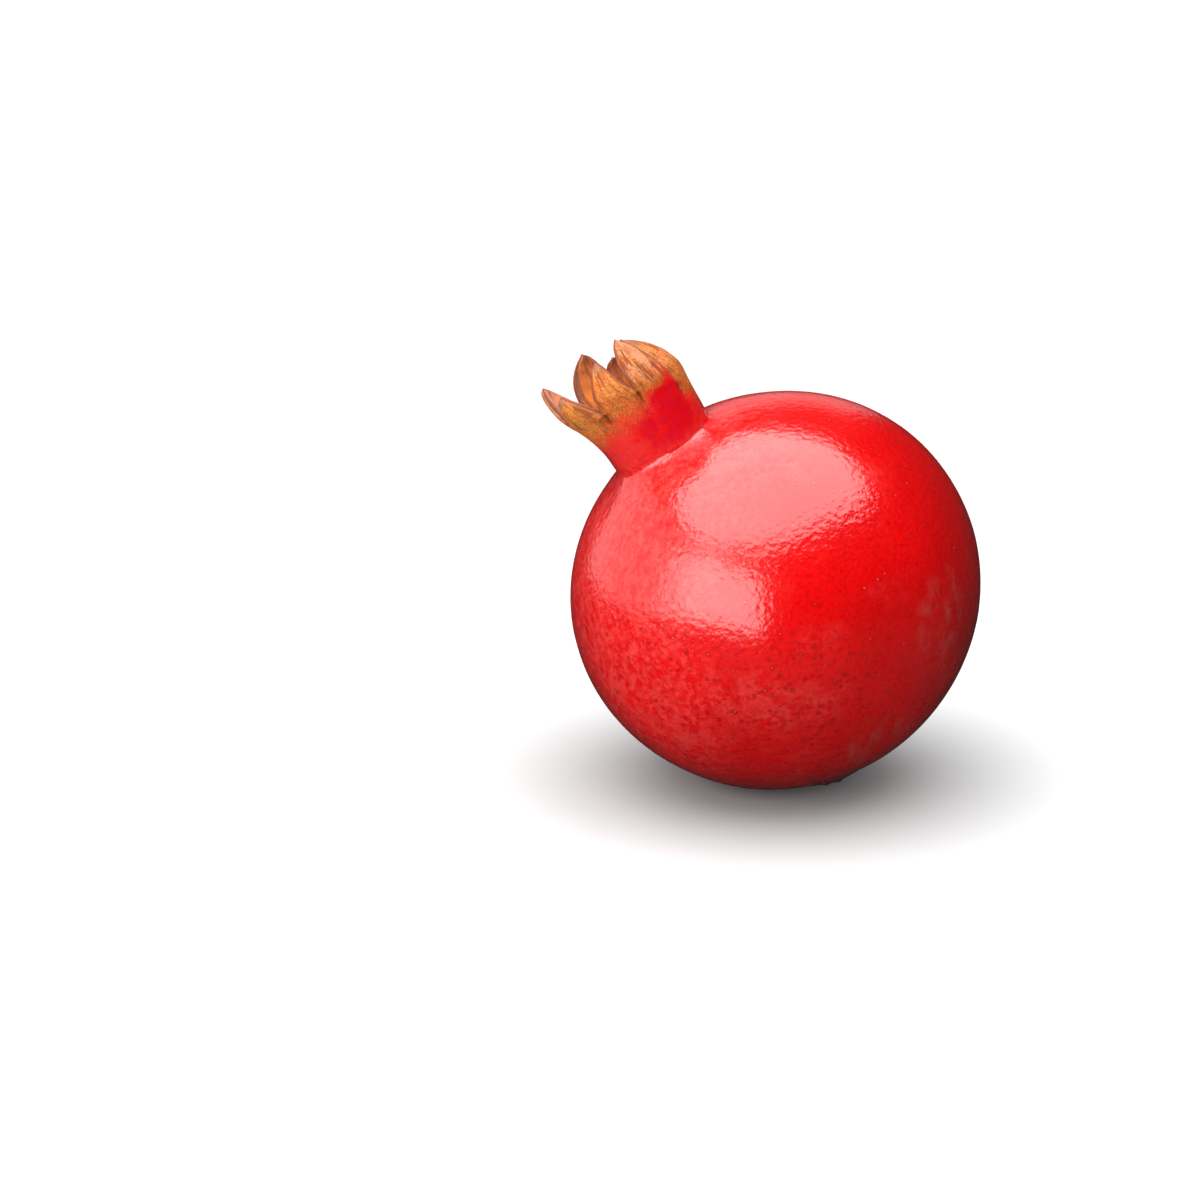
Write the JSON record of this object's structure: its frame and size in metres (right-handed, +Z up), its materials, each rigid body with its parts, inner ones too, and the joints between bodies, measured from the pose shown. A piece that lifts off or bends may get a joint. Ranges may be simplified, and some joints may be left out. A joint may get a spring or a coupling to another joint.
{
  "type": "pomegranate",
  "caption": "Whole ripe pomegranate lying on its lower side: a near-round leathery fruit with a leaning open crown of thick pointed sepals, dried stamens in its cup and a short stem stub.",
  "frame": {"origin": "middle of the small flat spot that the fruit rests on, at table height", "axes": "+Z up; the crown leans up towards -X and a little towards -Y, and the stem stub is low on the +X, -Y side"},
  "size_m": [0.0996, 0.0934, 0.1048],
  "materials": {
    "rind": "waxy, satin, red with fine pores, turning ochre and brown on the crown",
    "dried_stamens": "dry, matt, light brown",
    "stem_wood": "rough, matt, dark brown"
  },
  "bodies": {
    "root": {"fruit": "rind", "stamens": "dried_stamens", "stem_stub": "stem_wood"}
  },
  "joints": []
}
